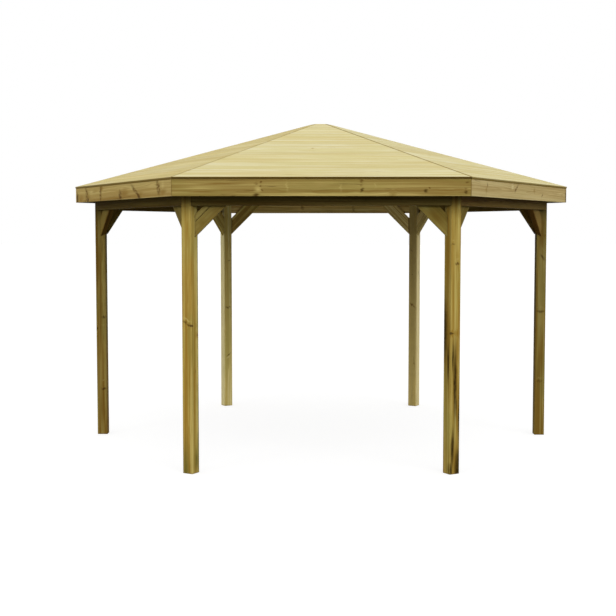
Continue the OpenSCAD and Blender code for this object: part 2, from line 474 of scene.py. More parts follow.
PINE_FIGURE = pine_figure()
print(PINE_FIGURE.name, "masks:", ", ".join(FIGURE_MASKS))

# %% Colours of treated timber
SHADES = ("Earlywood", "Brown", "Sapwood", "Tint", "End grain and painted shade", "Knot colour", "Slit colour", "Stain colour",
          "Painted shade colour")
AMOUNTS = ("Sap", "Flush", "Slit", "Stain", "Painted shade", "Streak depth", "Tint share", "Variety")
BROWN_STREAK = (0.55, 0.1)
PALE_STREAK = (0.5, 0.95)
TINT_BLOTCH = (0.42, 0.66)
STAIN_SHARE = (0.11, 0.87)
SLIT_SHARE = (0.55, 0.3)
EDGE_SHARE = 0.1
FIBRE_CONTRAST = 0.30
FIBRE_ROUGHNESS = (0.25, 0.62)
KNOT_POLISH = -0.12
HEIGHTS = {"Fibre": 0.5, "Latewood": 0.35, "Crack": -2.0, "Slit": -0.6, "Knot": 0.4}


def timber_colour():
    """Colour, roughness and height of a treated timber from its figure, marks, edges, ends and tone.

    Colours are laid over one another from the bottom up, each by its mask times a share. The fibres and
    the tone multiply the bare wood, before stains, knots, painted shade and ends cover it.
    """
    inputs = {key: "colour" for key in SHADES}
    inputs.update({key: "value" for key in FIGURE_MASKS + AMOUNTS}, Finish="vector")
    outputs = {"Color": "colour", "Roughness": "value", "Height": "value"}
    tree, given, out = group("Timber colour", inputs, outputs)
    finish = add(tree, "ShaderNodeSeparateXYZ", {"Vector": given["Finish"]}).outputs

    def cover(base, layers):
        for mask, share, colour in layers:
            base = mix(tree, calc(tree, "MULTIPLY", mask, share), base, given[colour])
        return base

    base = cover(given["Earlywood"], [
        (given["Chance"], given["Variety"], "Sapwood"),
        (ramp(tree, given["Streak"], *BROWN_STREAK), given["Streak depth"], "Brown"),
        (ramp(tree, given["Streak"], *PALE_STREAK), given["Streak depth"], "Sapwood"),
        (ramp(tree, given["Blotch"], *TINT_BLOTCH), given["Tint share"], "Tint"),
        (given["Flush"], 0.8, "Brown"),
        (given["Sap"], 0.85, "Sapwood"),
        (given["Latewood"], 0.35, "Brown")])
    swing = calc(tree, "SUBTRACT", given["Fibre"], NOISE_MEAN)
    shade = calc(tree, "MULTIPLY", calc(tree, "MULTIPLY_ADD", swing, FIBRE_CONTRAST, 1.0), finish["Z"])
    grey = add(tree, "ShaderNodeCombineColor", {key: shade for key in ("Red", "Green", "Blue")}).outputs[0]
    base = cover(mix(tree, 1.0, base, grey, "MULTIPLY"), [
        (given["Stain"], calc(tree, "MULTIPLY_ADD", given["Broken"], *STAIN_SHARE), "Stain colour"),
        (given["Halo"], 0.5, "Brown"),
        (given["Slit"], calc(tree, "MULTIPLY_ADD", given["Broken"], *SLIT_SHARE), "Slit colour"),
        (given["Knot"], 0.85, "Knot colour"),
        (given["Crack"], 0.6, "Knot colour"),
        (finish["X"], calc(tree, "MULTIPLY", given["Fibre"], EDGE_SHARE), "Sapwood"),
        # Painted shade at the tops of the posts under the eaves.
        (given["Painted shade"], 0.85, "Painted shade colour"),
        # End-grain colour on the sawn ends, and painted shade inside slots and along the eaves edge.
        (finish["Y"], 0.9, "End grain and painted shade")])
    rough = calc(tree, "MULTIPLY_ADD", given["Fibre"], *FIBRE_ROUGHNESS)
    rough = calc(tree, "MULTIPLY_ADD", given["Knot"], KNOT_POLISH, rough)
    height = 0.0
    for key, rise in HEIGHTS.items():
        height = calc(tree, "MULTIPLY_ADD", given[key], rise, height)
    for key, value in {"Color": base, "Roughness": rough, "Height": height}.items():
        tree.links.new(value, out[key])
    return tree


TIMBER_COLOUR = timber_colour()
print(TIMBER_COLOUR.name, "shades:", ", ".join(SHADES))

# %% [markdown]
# A mark is something that the real timber shows at a known place: a knot, the slit where the saw went
# along a branch, a stain, a brown flush or a pale patch of sapwood. It is written down as a carpenter
# would point at it: which face, how far along, how far to the side, and how big. The timber then says
# where in its log that is. One kind of mark is painted shade, which darkens the tops of posts under the
# eaves, and a few stains and pale patches below are painted shade and painted light too.

# %% Marks on a face
MM = 0.001
OUT, IN, NEXT, LAST = ("across", 1), ("across", -1), ("through", 1), ("through", -1)
PALE_RADIUS = 1.3
PALE_WIDTH = 1.2
PALE_FAINT = 0.6


def mark(kind, face, along, side, radius, long=1.0, wide=1.0, deep=3.0, lean=0.0, bend=0.0, faint=0.0,
         sharp=1.0):
    """A mark on a face, at so many millimetres along and to the side, with its radius in millimetres.

    long, wide and deep stretch it along, across and into the timber. lean slants it by so many metres
    along the grain for each metre across, and bend curves it by the square of the distance across. A
    faint mark counts as so many radii further away, so that it never reaches its full colour. A sharp
    mark fades so many times faster at its edge.
    """
    return {"kind": kind, "face": face, "along": along * MM, "side": side * MM, "radius": radius * MM,
            "long": long, "wide": wide, "deep": deep, "lean": lean, "bend": bend, "faint": faint,
            "sharp": sharp}


def marker(kind):
    """A function that makes marks of one kind."""
    def made(*place, **shape):
        return mark(kind, *place, **shape)
    return made


# The last kind of mark is painted shade, not a mark of the wood.
knot, slit, stain, pale, flush, painted_shade = map(marker, ("knot", "slit", "stain", "pale", "flush", "painted_shade"))


def whorl(face, along, side, radius, wide=2.0, lean=0.0, beside=30):
    """Branches cut lengthwise: a dark slit across the grain, and paler wood beside it."""
    beside_shape = {"wide": PALE_WIDTH * wide, "lean": lean, "faint": PALE_FAINT}
    return [slit(face, along, side, radius, wide=wide, lean=lean),
            pale(face, along + beside, side, PALE_RADIUS * radius, **beside_shape)]


def log_inputs(part, spot):
    """Inputs of the Set mark group for a mark on a timber: the face's offset plus the pith and its slope."""
    axis, sign = spot["face"]
    half = part["size"][0 if axis == "across" else 1] / 2 * sign
    centre = [part["log_x"] + spot["along"], part["pith"][0] + part["lean"] * spot["along"], part["pith"][1]]
    face_axis, side_axis = (1, 2) if axis == "across" else (2, 1)
    centre[face_axis] += half
    centre[side_axis] += spot["side"]
    stretch = [1 / spot["long"], 0.0, 0.0]
    stretch[face_axis], stretch[side_axis] = 1 / spot["deep"], 1 / spot["wide"]
    lean = [0.0, 0.0, 0.0]
    lean[side_axis] = spot["lean"]
    return {"Centre": centre, "Stretch": stretch, "Lean": lean, "Bend": spot["bend"],
            "Radius": spot["radius"], "Faint": spot["faint"], "Sharp": spot["sharp"]}


# %% [markdown]
# A finish is one material: where in the log the surface lies, how far the marks are, the figure, and
# the colours. Timbers made here carry the attribute "timber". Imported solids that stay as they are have
# none, so for them Mapping nodes turn the object's own coordinates to run along the rafter. Timber
# from the saw has hardly any gloss, so the shader's specular level is set low.

# %% Palettes
PALETTES = {
    "post": {"Earlywood": (202, 172, 90), "Brown": (164, 124, 44), "Sapwood": (222, 202, 124),
             "Tint": (160, 150, 76), "End grain and painted shade": (120, 90, 40), "Knot colour": (70, 44, 14)},
    "beam": {"Earlywood": (176, 148, 72), "Brown": (138, 104, 36), "Sapwood": (196, 174, 96),
             "Tint": (142, 130, 58), "End grain and painted shade": (110, 82, 36), "Knot colour": (70, 44, 14)},
    "fascia": {"Earlywood": (194, 168, 98), "Brown": (152, 118, 52), "Sapwood": (216, 196, 124),
               "Tint": (160, 152, 78), "End grain and painted shade": (110, 82, 36), "Knot colour": (70, 44, 14)},
    # The pale post palette is paler timber, and also painted light that lifts the back posts against the
    # roof's shade.
    "pale post": {"Earlywood": (222, 198, 108), "Brown": (186, 152, 66), "Sapwood": (248, 234, 172),
                  "Tint": (190, 178, 92), "End grain and painted shade": (120, 90, 40), "Knot colour": (90, 64, 26)},
    "front fascia": {"Earlywood": (158, 136, 74), "Brown": (128, 98, 40), "Sapwood": (202, 182, 110),
                     "Tint": (144, 134, 66), "End grain and painted shade": (92, 68, 30), "Knot colour": (62, 40, 12)},
    "roof": {"Earlywood": (213, 203, 154), "Brown": (198, 180, 117), "Sapwood": (219, 213, 175),
             "Tint": (205, 195, 136), "End grain and painted shade": (112, 86, 17), "Knot colour": (160, 126, 66)},
}
# The side panels' end-grain colour is also the painted shade along their eaves.
PALETTES["side roof"] = {**PALETTES["roof"], "End grain and painted shade": (132, 103, 14)}
SLIT_COLOUR = (100, 70, 24)
STAIN_COLOUR = (78, 56, 14)
# Colour of the painted shade at the tops of the posts.
PAINTED_SHADE_COLOUR = (70, 46, 8)
KNOT_SPACING = 0.13
RING_WIDTH = 0.0036
RELIEF_DEPTH = 0.002
TIMBER_GLOSS = 0.06
PLAIN_TONE = (1.0, 1.0, 1.0)
print("palettes:", ", ".join(PALETTES))

# %% The timber material
MARK_FADES = {"slit": ("Slit", 1.5, 0.35), "stain": ("Stain", 1.7, 0.2), "pale": ("Sap", 1.5, 0.2),
              "flush": ("Flush", 1.7, 0.1), "painted_shade": ("Painted shade", 1.7, 0.2)}


def place_group(tree, kind, inputs):
    """Outputs of a node group placed in a material with its inputs."""
    return add(tree, "ShaderNodeGroup", inputs, node_tree=kind).outputs


def nearest_mark(tree, place, marks, distance):
    """Chain of Set mark groups, each keeping the smaller distance."""
    for inputs in marks:
        distance = place_group(tree, SET_MARK, {"Vector": place, "Distance": distance, **inputs})["Distance"]
    return distance


def timber_finish(name, palette, part=None, marks=(), turns=(), share=0.10, radius=0.011, streaks=0.8,
                  tint=0.3, variety=0.2, stain_colour=STAIN_COLOUR, tone=PLAIN_TONE, bump=0.25):
    """A material of treated pine.

    marks lie on the timber given as part. turns are moves and rotations of the object's coordinates, one
    Mapping node each, for solids with no log attribute. tone multiplies the palette's colours.
    """
    material = bpy.data.materials.new(name)
    material.use_nodes = True
    tree = material.node_tree
    shader = tree.nodes["Principled BSDF"]
    if turns:
        place = add(tree, "ShaderNodeTexCoord").outputs["Object"]
        for location, rotation in turns:
            inputs = {"Vector": place, "Location": location, "Rotation": rotation}
            place = add(tree, "ShaderNodeMapping", inputs).outputs["Vector"]
        finish = add(tree, "ShaderNodeCombineXYZ", {"Z": 1.0}).outputs["Vector"]
    else:
        place = add(tree, "ShaderNodeAttribute", attribute_name="timber").outputs["Vector"]
        finish = add(tree, "ShaderNodeAttribute", attribute_name="finish").outputs["Vector"]
    kinds = ("knot", *MARK_FADES)
    chosen = {kind: [log_inputs(part, spot) for spot in marks if spot["kind"] == kind] for kind in kinds}
    ragged = place_group(tree, RAGGED_PLACE, {"Vector": place})["Vector"]
    cells = {"Vector": place, "Spacing": KNOT_SPACING, "Share": share, "Radius": radius}
    distance = place_group(tree, SCATTERED_KNOTS, cells)["Distance"]
    distance = nearest_mark(tree, place, chosen["knot"], distance)
    rings = {"Vector": place, "Knot distance": distance, "Ring width": RING_WIDTH}
    figure = place_group(tree, PINE_FIGURE, rings)
    shades = {**PALETTES[palette], "Slit colour": SLIT_COLOUR, "Stain colour": stain_colour,
              "Painted shade colour": PAINTED_SHADE_COLOUR}
    inputs = {key: (*(np.array(linear(*shade)[:3]) * tone).tolist(), 1.0) for key, shade in shades.items()}
    inputs.update({"Streak depth": streaks, "Tint share": tint, "Variety": variety, "Finish": finish})
    inputs.update({key: figure[key] for key in FIGURE_MASKS})
    for kind, (socket, far, near) in MARK_FADES.items():
        if chosen[kind]:
            inputs[socket] = ramp(tree, nearest_mark(tree, ragged, chosen[kind], FAR_AWAY), far, near)
    colour = place_group(tree, TIMBER_COLOUR, inputs)
    bumps = {"Strength": bump, "Distance": RELIEF_DEPTH, "Height": colour["Height"]}
    relief = add(tree, "ShaderNodeBump", bumps)
    tree.links.new(colour["Color"], shader.inputs["Base Color"])
    tree.links.new(colour["Roughness"], shader.inputs["Roughness"])
    tree.links.new(relief.outputs["Normal"], shader.inputs["Normal"])
    shader.inputs["Specular IOR Level"].default_value = TIMBER_GLOSS
    return material


# %% [markdown]
# The posts stand square to the ring, so each shows one face outwards and two faces to its beams. They
# are cut from the heart of the log, which puts the pith inside the post. Each has the marks that its
# visible faces show: stains where water has run down, and a pale edge of sapwood on the front left post.
# The four posts that the camera sees from outside get painted shade at their tops under the eaves. The
# stain on the inner face of the right post is painted shade as well, and the pale strips on the outer
# side faces of the back posts are sapwood brightened with painted light.

# %% Marks of the posts
POST_LOOKS = {
    "left": {"tone": (0.43, 0.41, 0.33), "marks": [
        *whorl(NEXT, 1075, -22, 13, wide=1.8, beside=-70), knot(NEXT, 975, 40, 10),
        *whorl(NEXT, 420, -15, 11, wide=2.2, beside=77), flush(NEXT, 1580, 22, 20, long=9),
        pale(NEXT, 1500, -18, 6, long=48), pale(IN, 550, 35, 10, long=40),
        flush(NEXT, 250, 0, 30, long=9, faint=0.3), pale(NEXT, 550, -34, 9, long=60, faint=0.2)]},
    "right": {"tone": (0.45, 0.45, 0.40), "marks": [
        *whorl(LAST, 1615, 18, 14, wide=2.2, lean=-1, beside=75),
        *whorl(LAST, 1130, -3, 12, wide=3, beside=38), *whorl(LAST, 490, -5, 10, wide=2.6),
        flush(LAST, 750, 10, 15, long=14), flush(LAST, 1850, 0, 30, long=6),
        # The stain on the inner face is painted shade under the roof.
        stain(IN, 1000, 0, 60, long=30, deep=0.15, faint=0.6)]},
    "front_left": {"tone": (0.94, 0.97, 0.96), "stain_colour": (104, 96, 38), "marks": [
        *whorl(OUT, 1157, 3, 11, wide=4, lean=-0.47), knot(OUT, 1140, 38, 10),
        flush(OUT, 1200, -4, 9, long=90), flush(OUT, 500, -12, 12, long=40),
        pale(OUT, 300, 45, 30, long=26, deep=1.1, sharp=3, faint=0.85),
        flush(OUT, 1500, 0, 45, long=11, wide=3, deep=0.3, faint=0.85),
        stain(NEXT, 900, -46, 13, long=110), stain(NEXT, 150, -40, 14, long=16), knot(NEXT, 1139, 36, 9),
        flush(OUT, 60, 15, 50, long=3, faint=0.5), stain(NEXT, 100, -10, 35, long=4, faint=0.5),
        flush(OUT, 1850, 10, 30, long=6, faint=0.4), flush(OUT, 250, 0, 45, long=9, faint=0.5),
        stain(OUT, 0, -20, 50, long=6, faint=0.4)]},
    "front_right": {"tone": (0.80, 0.82, 0.74), "stain_colour": (52, 35, 0), "marks": [
        *whorl(OUT, 1758, -28, 8, wide=2), *whorl(OUT, 1614, 10, 12, wide=1.6, beside=35),
        knot(LAST, 1084, 40, 11), stain(OUT, 700, -2, 15, long=18),
        stain(OUT, 200, -22, 15, long=9, lean=3), stain(OUT, 30, -36, 12, long=5),
        stain(OUT, 20, 40, 40, long=4.5, sharp=1.6), stain(OUT, 420, 38, 12, long=22, faint=0.2),
        stain(OUT, 900, -22, 7, long=18), stain(OUT, 520, 10, 10, long=16, faint=0.4),
        stain(LAST, 860, 15, 11, long=12), stain(LAST, 1100, -36, 36, long=7),
        flush(LAST, 1080, 0, 50, long=4), pale(OUT, 850, 28, 9, long=40, faint=0.5),
        pale(OUT, 450, 4, 7, long=34), flush(OUT, 720, 10, 42, long=10), flush(OUT, 120, 0, 40, long=5),
        flush(LAST, 1750, 0, 40, long=8, deep=0.4), pale(OUT, 1700, 0, 60, long=14, deep=0.1, faint=0.9)]},
    "back_left": {"tone": (1.0, 1.02, 1.1), "streaks": 0.5, "marks": [
        slit(IN, 1550, -12, 12, wide=1.6, faint=0.4), slit(IN, 1053, 0, 11, wide=2.6),
        slit(IN, 550, -6, 11, wide=3, lean=-0.8, faint=0.3),
        # The pale strip on the outer side face is sapwood, brightened further as painted light from the open
        # side.
        pale(IN, 520, 0, 16, wide=2, lean=-0.8, faint=0.6), pale(NEXT, 1100, 0, 60, long=40, deep=0.1)]},
    "back_right": {"tone": (1.04, 1.04, 1.14), "streaks": 0.5, "stain_colour": (176, 154, 88), "marks": [
        stain(IN, 1100, 0, 60, long=40, deep=0.3), slit(IN, 1657, 10, 8, wide=3, faint=0.3),
        slit(IN, 1400, 6, 7, wide=3, faint=0.5), slit(IN, 1075, -4, 12, wide=2.6, lean=0.7),
        pale(IN, 1115, 0, 12, wide=3, faint=0.6), pale(IN, 545, 0, 10, wide=3, faint=0.5),
        # The pale strip on the outer side face is sapwood, brightened further as painted light from the open
        # side.
        slit(IN, 460, -20, 12, faint=0.5), pale(LAST, 1100, 0, 60, long=40, deep=0.1)]},
}
print("marks on posts:", sum(len(look["marks"]) for look in POST_LOOKS.values()))

# %% Posts
POST_EASE = 0.005
POST_PITH = 0.03
POST_LEAN = 0.004
POST_BOW = 0.001
# Painted shade at the tops of these posts, where the eaves shade them.
PAINTED_SHADE_POSTS = ("left", "right", "front_left", "front_right")
PAINTED_TOP_SHADE = painted_shade(OUT, post_top / MM, 0, 50, long=3, wide=3)
SEED = 11
rng = np.random.default_rng(SEED)
for k, corner in enumerate(CORNERS):
    angle = k * TURN
    foot = ring * outward(angle)
    part = timber(foot, UP, outward(angle), (post_size, post_size), [(foot, UP), (foot + post_top * UP, UP)],
                  ease=POST_EASE, rings=14, pith=tuple(rng.uniform(-POST_PITH, POST_PITH, 2)),
                  lean=rng.uniform(-POST_LEAN, POST_LEAN), bow=rng.uniform(-POST_BOW, POST_BOW, 2))
    palette = "pale post" if corner.startswith("back") else "post"
    look = {"share": 0.05, "streaks": 0.9, "tint": 0.4, **POST_LOOKS[corner]}
    if corner in PAINTED_SHADE_POSTS:
        look["marks"] = look["marks"] + [PAINTED_TOP_SHADE]
    finish = timber_finish("post_timber_" + corner, palette, part, **look)
    piece("timber_post_" + corner, [part], finish, "post_" + corner)
print("posts:", len(CORNERS))

# %% [markdown]
# A ring beam lies between two posts, and its ends are cut to the posts' side faces. The cutting plane
# is that face: a point half a post from the post's axis, and the direction around the ring. Each beam
# has its own tone, set against the photograph: the front one is dark, the back one pale. These tones
# are partly the timbers' own and partly painted shade and painted light: the front and side beams are
# darkened where the eaves shade them, and the back beam is lightened against the roof's shade.

# %% Ring beams
BEAM_EASE = 0.004
BOARD_LOG = {"across": 0.03, "depths": (-0.09, -0.05), "slant": 0.01}
beam_depth = beam_high.z - beam_low.z
BEAM_LOOKS = {
    # The stain along the top of the front beam is painted shade under the fascia.
    "front": {"tone": (0.28, 0.28, 0.28), "marks": [stain(NEXT, 0, 58, 27, long=120)]},
    "front_left": {"tone": (0.28, 0.26, 0.155)},
    "front_right": {"tone": (0.43, 0.38, 0.36)},
    # The back beam is lightened against the roof's shade: painted light.
    "back": {"tone": (1.75, 1.83, 2.8), "marks": [
        slit(LAST, 190, 5, 18, wide=1.5), slit(LAST, -350, -10, 14, wide=2.5)]},
    "back_left": {"tone": (0.40, 0.37, 0.32)},
    "back_right": {"tone": (0.40, 0.37, 0.32)},
}


def post_face(corner, toward):
    """Plane of a post's side face: half a post sideways from its axis, looking along the ring."""
    normal = toward * sideways(corner * TURN)
    return ring * outward(corner * TURN) + post_size / 2 * normal, normal


def drawn_log(across, depths, slant):
    """Where a timber sat in its log, drawn at random: the pith's offset across and through, and its slope."""
    return {"pith": (rng.uniform(-across, across), rng.uniform(*depths)), "lean": rng.uniform(-slant, slant)}


for k, face in enumerate(FACES):
    angle = k * TURN + HALF
    centre = (beam_outer + beam_inner) / 2 * outward(angle) + (beam_low.z + beam_high.z) / 2 * UP
    part = timber(centre, sideways(angle), UP, (beam_depth, beam_outer - beam_inner),
                  [post_face(k, 1), post_face(k + 1, -1)], ease=BEAM_EASE, **drawn_log(**BOARD_LOG))
    finish = timber_finish("beam_timber_" + face, "beam", part, radius=0.012, **BEAM_LOOKS[face])
    piece("timber_beam_" + face, [part], finish, "beam_" + face)
print("beams:", len(FACES))

# %% [markdown]
# The knee braces are boards at forty-five degrees behind the beams. The lower end lies flat on the post,
# the upper end is level with the top of the beam. One brace at the front has a long drying crack, which
# is a real slot in its face.

# %% Knee braces
BRACE_WIDTH = 0.120
BRACE_SLOPE = math.radians(45)
BRACE_THICKNESS = 0.045
BRACE_EASE = 0.004
BRACE_LOG = {"across": 0.05, "depths": (-0.08, -0.04), "slant": 0.02}
BRACE_TONES = (0.95, 1.05)
CRACKED = ("front_left", 1)
CRACK = {"face": 1, "place": -0.022, "width": 0.005, "root": 0.3, "depth": 0.015,
         "start": 0.05, "end": 0.42, "taper": 0.1}
# Painted light and shade for the left and right braces: a pale patch lightens the broad face, and a stain in
# a lighter brown darkens the underside.
PAINTED_LIGHT_AND_SHADE = {"along": 200, "side": 0, "radius": 60, "long": 8, "deep": 0.15}
BRACE_LOOKS = {
    "front_left": {"tone": (0.66, 0.70, 0.76), "streaks": 0.35, "marks": [
        pale(NEXT, 150, 40, 20, long=14, faint=0.4), flush(NEXT, 120, -20, 30, long=1.6, faint=0.6),
        flush(NEXT, 260, -20, 20, long=2, faint=0.6)]},
    "front_right": {"tone": (0.60, 0.64, 0.64), "streaks": 0.5, "marks": [
        flush(NEXT, 170, 10, 30, long=2.5), pale(NEXT, 300, 20, 30, long=2, faint=0.3)]},
    "left": {"tone": (0.50, 0.47, 0.38), "stain_colour": (150, 112, 44), "marks": [
        pale(NEXT, **PAINTED_LIGHT_AND_SHADE), stain(IN, **PAINTED_LIGHT_AND_SHADE)]},
    "right": {"tone": (0.52, 0.45, 0.43), "stain_colour": (150, 112, 44), "marks": [
        pale(NEXT, **PAINTED_LIGHT_AND_SHADE), stain(OUT, **PAINTED_LIGHT_AND_SHADE)]},
    # The back braces are lightened against the roof's shade: painted light.
    "back_left": {"tone": (1.4, 1.5, 1.8)},
    "back_right": {"tone": (1.8, 1.95, 3.1)},
}


def brace(corner, toward, **looks):
    """A brace from a post towards the next one (toward 1) or the last one (toward -1).

    Its axis climbs at the brace slope. The lower edge passes through the foot, where the outer face
    meets the post, so the axis is half a brace width square above it.
    """
    side = corner * TURN + toward * HALF
    run = toward * sideways(side)
    along = math.cos(BRACE_SLOPE) * run + math.sin(BRACE_SLOPE) * UP
    square = math.cos(BRACE_SLOPE) * UP - math.sin(BRACE_SLOPE) * run
    point, normal = post_face(corner, toward)
    flat = beam_inner * outward(side)
    foot = flat + ((point - flat) @ normal) / (run @ normal) * run + brace_foot * UP
    middle = foot - BRACE_THICKNESS / 2 * outward(side) + BRACE_WIDTH / 2 * square
    cuts = [(point, normal), (beam_high.z * UP, UP)]
    size = (BRACE_WIDTH, BRACE_THICKNESS)
    return timber(middle, along, toward * square, size, cuts, ease=BRACE_EASE, **looks)


for k, corner in enumerate(CORNERS):
    parts = {}
    for toward in (1, -1):
        looks = {**drawn_log(**BRACE_LOG), "tone": rng.uniform(*BRACE_TONES)}
        if (corner, toward) == CRACKED:
            looks.update(slot=CRACK, rings=24)
        parts[toward] = brace(k, toward, **looks)
    marked = parts[1 if corner.endswith("left") else -1]
    finish = timber_finish("brace_timber_" + corner, "beam", marked, radius=0.010, **BRACE_LOOKS[corner])
    piece("timber_braces_" + corner, list(parts.values()), finish, "braces_" + corner)
print("braces:", 2 * len(CORNERS))

# %% [markdown]
# The fascia hides the rafter tails. Its boards are mitred at the corners, so both cutting planes hold
# the upright axis and a corner line. The front board has a few knots and a strip of pale sapwood along
# its lower edge, and the front left one shows whorls of branches that the saw went through lengthwise.

# %% Marks of the fascia boards
FASCIA_LOOKS = {
    "front": {"tint": 0.4, "streaks": 0.45, "marks": [
        slit(NEXT, -485, 34, 12), slit(NEXT, -446, 42, 9), slit(NEXT, -446, 12, 9),
        slit(NEXT, -440, -17, 9), stain(NEXT, -483, -56, 14, long=1.5),
        pale(NEXT, -470, -10, 30, long=1.2, faint=0.3), slit(NEXT, 299, 48, 14), slit(NEXT, 297, 18, 9),
        stain(NEXT, 302, -17, 11, wide=1.4, lean=0.5), stain(NEXT, 774, -22, 13), slit(NEXT, 805, -2, 8),
        slit(NEXT, 1086, 40, 8, long=2), slit(NEXT, 1072, -10, 9), stain(NEXT, 1072, -33, 11),
        pale(NEXT, 180, -66, 34, long=26, deep=1, sharp=3, faint=0.7),
        pale(NEXT, -254, 10, 16, wide=4, faint=0.65), pale(NEXT, 145, 0, 20, wide=3, faint=0.75),
        pale(NEXT, 400, 20, 14, wide=3, faint=0.75), flush(NEXT, 100, 10, 24, long=22, faint=1),
        pale(NEXT, 980, -62, 10, long=30, faint=0.4), pale(NEXT, -900, 0, 50, long=6, faint=0.8),
        flush(NEXT, 350, -25, 9, long=70), flush(NEXT, 950, -18, 8, long=26),
        flush(NEXT, -900, -30, 6, long=16), flush(NEXT, -750, 30, 7, long=22)]},
    "front_left": {"tone": (1.02, 1.02, 1.06), "tint": 0.1, "streaks": 0.35, "marks": [
        slit(NEXT, -800, 4, 30, wide=2.4, bend=-12), stain(NEXT, -780, -50, 20),
        flush(NEXT, -770, -42, 36), slit(NEXT, -444, 0, 24, wide=3.2), flush(NEXT, -420, 45, 28),
        slit(NEXT, 30, -22, 30, wide=1.4), stain(NEXT, 50, -45, 16, faint=0.2),
        stain(NEXT, 450, -48, 22, lean=-1.5), flush(NEXT, 130, -20, 36, long=2.5),
        slit(NEXT, 390, -10, 34, wide=1.8, lean=-1.7), flush(NEXT, 490, -40, 24, long=2.4),
        slit(NEXT, 857, 12, 32, wide=2, lean=-0.3), pale(NEXT, 950, 30, 34, faint=0.2),
        flush(NEXT, 950, -30, 24, long=3), pale(NEXT, -680, 20, 36, long=2, faint=0.4),
        pale(NEXT, 300, 30, 30, faint=0.4), flush(NEXT, -100, -48, 16, long=80),
        stain(NEXT, -1070, -30, 22, wide=2.5), flush(NEXT, -970, -45, 42, long=1.5),
        pale(NEXT, 0, -66, 7, long=180)]},
    "front_right": {"tone": (1.02, 1.08, 1.46), "tint": 0.1, "streaks": 0.4, "marks": [
        slit(NEXT, -800, 24, 18, wide=1.6, faint=0.4), flush(NEXT, -820, -10, 22, wide=1.5, faint=0.4),
        slit(NEXT, -170, 22, 18, wide=1.8, lean=1.2), pale(NEXT, -260, 35, 26),
        flush(NEXT, 260, 20, 34, faint=0.5), slit(NEXT, 455, -20, 18, wide=1.6, lean=0.6, faint=0.4),
        stain(NEXT, 1100, -10, 30, wide=3, faint=0.3), pale(NEXT, 0, -66, 7, long=180)]},
}
print("marks on fascia boards:", sum(len(look["marks"]) for look in FASCIA_LOOKS.values()))

# %% Fascia boards
FASCIA_EASE = 0.002
BACK_FASCIA = {"share": 0.16}
fascia_depth = fascia_high.z - fascia_low.z
for k, face in enumerate(FACES):
    angle = k * TURN + HALF
    centre = (fascia_outer + fascia_inner) / 2 * outward(angle) + (fascia_low.z + fascia_high.z) / 2 * UP
    part = timber(centre, sideways(angle), UP, (fascia_depth, fascia_outer - fascia_inner),
                  [(AXIS, sideways(k * TURN)), (AXIS, sideways((k + 1) * TURN))], ease=FASCIA_EASE, rings=12,
                  **drawn_log(**BOARD_LOG))
    look = {"share": 0.03, **FASCIA_LOOKS.get(face, BACK_FASCIA)}
    palette = "front fascia" if face == "front" else "fascia"
    finish = timber_finish("fascia_timber_" + face, palette, part, **look)
    piece("timber_fascia_" + face, [part], finish, "fascia_" + face)
print("fascia boards:", len(FACES))

# %% [markdown]
# The roof panels are rows of tongued boards that run level, each a little shorter than the one below.
# The board edges are eased, so a fine groove shows between two boards, and tongues close the gaps below.
# At the hips a narrow joint stays open, which is closer at the front left. The lowest board at the front
# shows its open groove at the eaves, which reads as a dark line. The outer edge of the lowest board of
# every panel is also painted darker, with end-grain colour and a lower tone: painted shade under the
# eaves.

